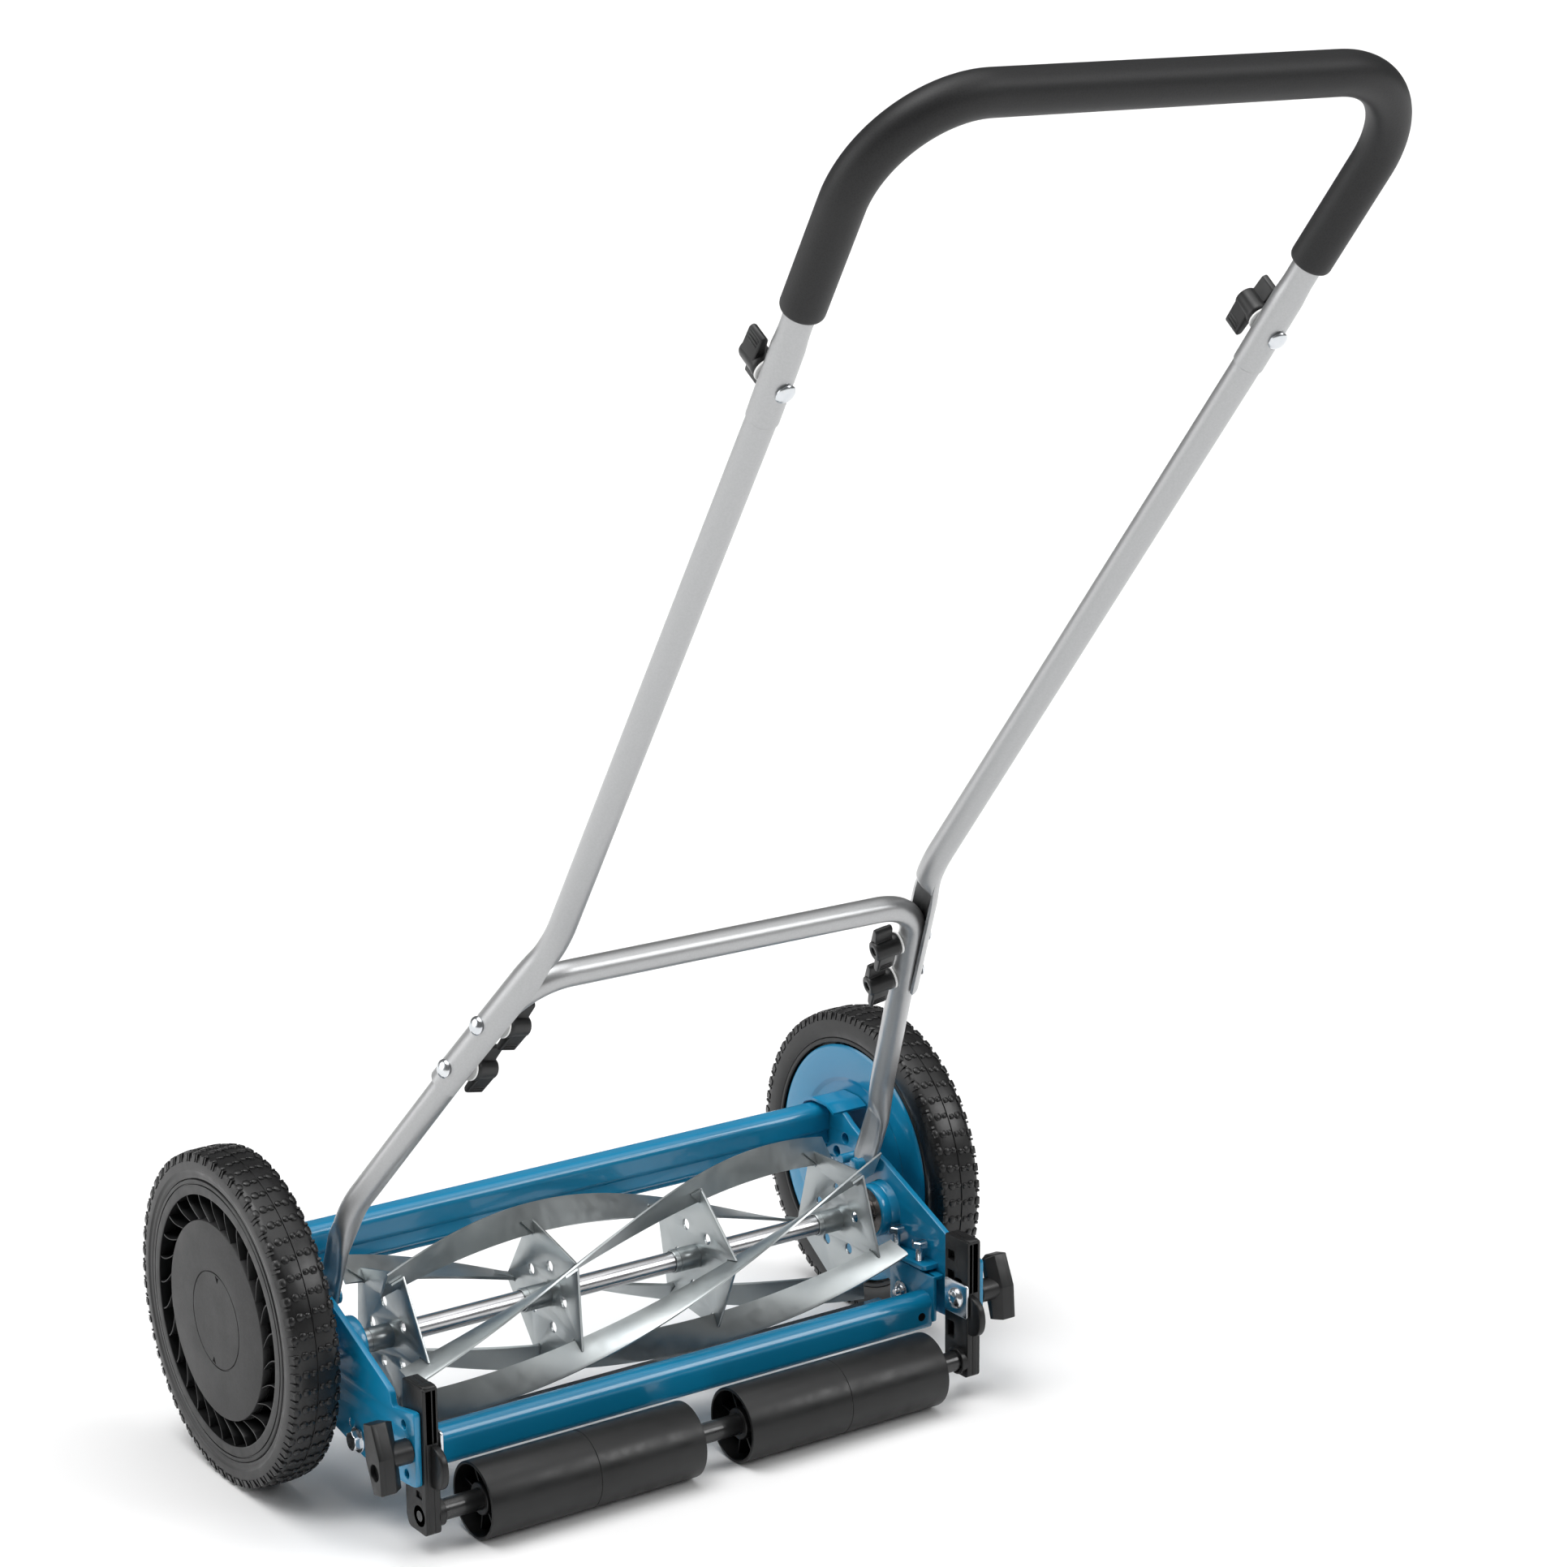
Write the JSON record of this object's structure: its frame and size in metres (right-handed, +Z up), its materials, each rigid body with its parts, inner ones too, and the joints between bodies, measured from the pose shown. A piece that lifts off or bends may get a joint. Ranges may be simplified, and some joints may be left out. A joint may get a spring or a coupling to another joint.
{
  "type": "reel mower",
  "caption": "Push reel mower: driven wheels turn a helical blade reel against a fixed knife, with a rear roller and a folding tube handle with foam grip.",
  "frame": {"origin": "middle of the bounding box's underside, on the ground", "axes": "+X to the operator's right along the wheel axles, +Y the mowing direction, +Z up"},
  "size_m": [0.604, 0.821, 1.0428],
  "materials": {
    "blue_paint": "glossy",
    "black_plastic": "satin",
    "tyre_rubber": "matt",
    "galvanised": "galvanised",
    "bright_steel": "ground",
    "zinc": "zinc plated",
    "silver_paint": "satin",
    "black_paint": "satin",
    "foam": "matt foam"
  },
  "bodies": {
    "chassis": {"side_plate_left": "blue_paint", "side_plate_right": "blue_paint", "crossbar": "blue_paint", "axle_left": "zinc", "axle_right": "zinc", "reel_bearing_left": "bright_steel", "reel_bearing_right": "bright_steel", "bed_pivot_bolt_left": "zinc", "bed_pivot_bolt_right": "zinc", "clamp_bolt_left": "zinc", "clamp_bolt_right": "zinc"},
    "wheel_left": {"tyre_left": "tyre_rubber", "wheel_left": "black_plastic", "hub_cap_left": "black_plastic"},
    "wheel_right": {"tyre_right": "tyre_rubber", "wheel_right": "black_plastic", "hub_cap_right": "black_plastic"},
    "pinion_left": {"pinion_left": "bright_steel"},
    "pinion_right": {"pinion_right": "bright_steel"},
    "reel": {"reel_shaft": "bright_steel", "reel_spider_1": "galvanised", "reel_spider_2": "galvanised", "reel_spider_3": "galvanised", "reel_spider_4": "galvanised", "reel_blade_1": "galvanised", "reel_blade_2": "galvanised", "reel_blade_3": "galvanised", "reel_blade_4": "galvanised", "reel_blade_5": "galvanised"},
    "bed": {"bed_bar": "blue_paint", "bed_knife": "bright_steel"},
    "adjuster_front_left": {"adjuster_front_left": "zinc"},
    "adjuster_front_right": {"adjuster_front_right": "zinc"},
    "adjuster_rear_left": {"adjuster_rear_left": "zinc"},
    "adjuster_rear_right": {"adjuster_rear_right": "zinc"},
    "carriage": {"roller_bracket_left": "black_plastic", "roller_bracket_right": "black_plastic", "roller_shaft": "black_paint"},
    "roller_left": {"roller_left": "black_plastic"},
    "roller_right": {"roller_right": "black_plastic"},
    "clamp_knob_left": {"clamp_knob_left": "black_plastic"},
    "clamp_knob_right": {"clamp_knob_right": "black_plastic"},
    "handle": {"lower_handle": "silver_paint", "middle_tube_left": "silver_paint", "middle_tube_right": "silver_paint", "upper_handle": "silver_paint", "foam_grip": "foam", "leg_high_bolt_left": "zinc", "leg_high_bolt_right": "zinc", "leg_low_bolt_left": "zinc", "leg_low_bolt_right": "zinc", "grip_bolt_left": "zinc", "grip_bolt_right": "zinc"},
    "leg_high_knob_left": {"leg_high_knob_left": "black_plastic"},
    "leg_high_knob_right": {"leg_high_knob_right": "black_plastic"},
    "leg_low_knob_left": {"leg_low_knob_left": "black_plastic"},
    "leg_low_knob_right": {"leg_low_knob_right": "black_plastic"},
    "grip_knob_left": {"grip_knob_left": "black_plastic"},
    "grip_knob_right": {"grip_knob_right": "black_plastic"}
  },
  "joints": [
    {"name": "wheel_left_spin", "type": "hinge", "parent": "chassis", "child": "wheel_left", "pos_m": [-0.283, 0.28549, 0.125], "axis": [-1, 0, 0], "continuous": true},
    {"name": "wheel_right_spin", "type": "hinge", "parent": "chassis", "child": "wheel_right", "pos_m": [0.283, 0.28549, 0.125], "axis": [-1, 0, 0], "continuous": true},
    {"name": "pinion_left_spin", "type": "hinge", "parent": "chassis", "child": "pinion_left", "pos_m": [-0.278, 0.21149, 0.1145], "axis": [-1, 0, 0], "continuous": true},
    {"name": "pinion_right_spin", "type": "hinge", "parent": "chassis", "child": "pinion_right", "pos_m": [0.278, 0.21149, 0.1145], "axis": [-1, 0, 0], "continuous": true},
    {"name": "reel_spin", "type": "hinge", "parent": "chassis", "child": "reel", "pos_m": [0, 0.21149, 0.1145], "axis": [-1, 0, 0], "continuous": true},
    {"name": "bed_tilt", "type": "hinge", "parent": "chassis", "child": "bed", "pos_m": [0, 0.17149, 0.06], "axis": [-1, 0, 0], "range_deg": [0, 1.5]},
    {"name": "adjuster_front_left_travel", "type": "slide", "parent": "chassis", "child": "adjuster_front_left", "axis": [0, 0, -1], "range_m": [0, 0.0004]},
    {"name": "adjuster_front_right_travel", "type": "slide", "parent": "chassis", "child": "adjuster_front_right", "axis": [0, 0, -1], "range_m": [0, 0.0004]},
    {"name": "adjuster_rear_left_travel", "type": "slide", "parent": "chassis", "child": "adjuster_rear_left", "axis": [0, 0, 1], "range_m": [0, 0.0005]},
    {"name": "adjuster_rear_right_travel", "type": "slide", "parent": "chassis", "child": "adjuster_rear_right", "axis": [0, 0, 1], "range_m": [0, 0.0005]},
    {"name": "roller_height", "type": "slide", "parent": "chassis", "child": "carriage", "axis": [0, 0, 1], "range_m": [-0.01, 0.01]},
    {"name": "roller_left_spin", "type": "hinge", "parent": "carriage", "child": "roller_left", "pos_m": [-0.11, 0.09549, 0.0286], "axis": [-1, 0, 0], "continuous": true},
    {"name": "roller_right_spin", "type": "hinge", "parent": "carriage", "child": "roller_right", "pos_m": [0.11, 0.09549, 0.0286], "axis": [-1, 0, 0], "continuous": true},
    {"name": "clamp_knob_left_turn", "type": "hinge", "parent": "chassis", "child": "clamp_knob_left", "pos_m": [-0.26, 0.09749, 0.079], "axis": [1, 0, 0], "continuous": true},
    {"name": "clamp_knob_right_turn", "type": "hinge", "parent": "chassis", "child": "clamp_knob_right", "pos_m": [0.26, 0.09749, 0.079], "axis": [-1, 0, 0], "continuous": true},
    {"name": "handle_tilt", "type": "hinge", "parent": "chassis", "child": "handle", "pos_m": [0, 0.23149, 0.146], "axis": [-1, 0, 0], "range_deg": [0, 45]},
    {"name": "leg_high_knob_left_turn", "type": "hinge", "parent": "handle", "child": "leg_high_knob_left", "pos_m": [-0.16734, 0.09055, 0.37527], "axis": [0.9613, 0.1602, -0.2242], "continuous": true},
    {"name": "leg_high_knob_right_turn", "type": "hinge", "parent": "handle", "child": "leg_high_knob_right", "pos_m": [0.16734, 0.09055, 0.37527], "axis": [-0.9613, 0.1602, -0.2242], "continuous": true},
    {"name": "leg_low_knob_left_turn", "type": "hinge", "parent": "handle", "child": "leg_low_knob_left", "pos_m": [-0.17974, 0.11569, 0.34006], "axis": [0.9613, 0.1602, -0.2242], "continuous": true},
    {"name": "leg_low_knob_right_turn", "type": "hinge", "parent": "handle", "child": "leg_low_knob_right", "pos_m": [0.17974, 0.11569, 0.34006], "axis": [-0.9613, 0.1602, -0.2242], "continuous": true},
    {"name": "grip_knob_left_turn", "type": "hinge", "parent": "handle", "child": "grip_knob_left", "pos_m": [-0.18815, -0.26685, 0.86923], "axis": [-0.0484, 0.8015, 0.596], "continuous": true},
    {"name": "grip_knob_right_turn", "type": "hinge", "parent": "handle", "child": "grip_knob_right", "pos_m": [0.18815, -0.26685, 0.86923], "axis": [0.0484, 0.8015, 0.596], "continuous": true}
  ],
  "couplings": [
    {"joint": "pinion_left_spin", "follows": "wheel_left_spin", "ratio": 5},
    {"joint": "reel_spin", "follows": "wheel_left_spin", "ratio": 5},
    {"joint": "pinion_right_spin", "follows": "wheel_right_spin", "ratio": 5},
    {"joint": "adjuster_front_left_travel", "follows": "bed_tilt", "m_per_rad": 0.013},
    {"joint": "adjuster_front_right_travel", "follows": "bed_tilt", "m_per_rad": 0.013},
    {"joint": "adjuster_rear_left_travel", "follows": "bed_tilt", "m_per_rad": 0.017},
    {"joint": "adjuster_rear_right_travel", "follows": "bed_tilt", "m_per_rad": 0.017}
  ]
}
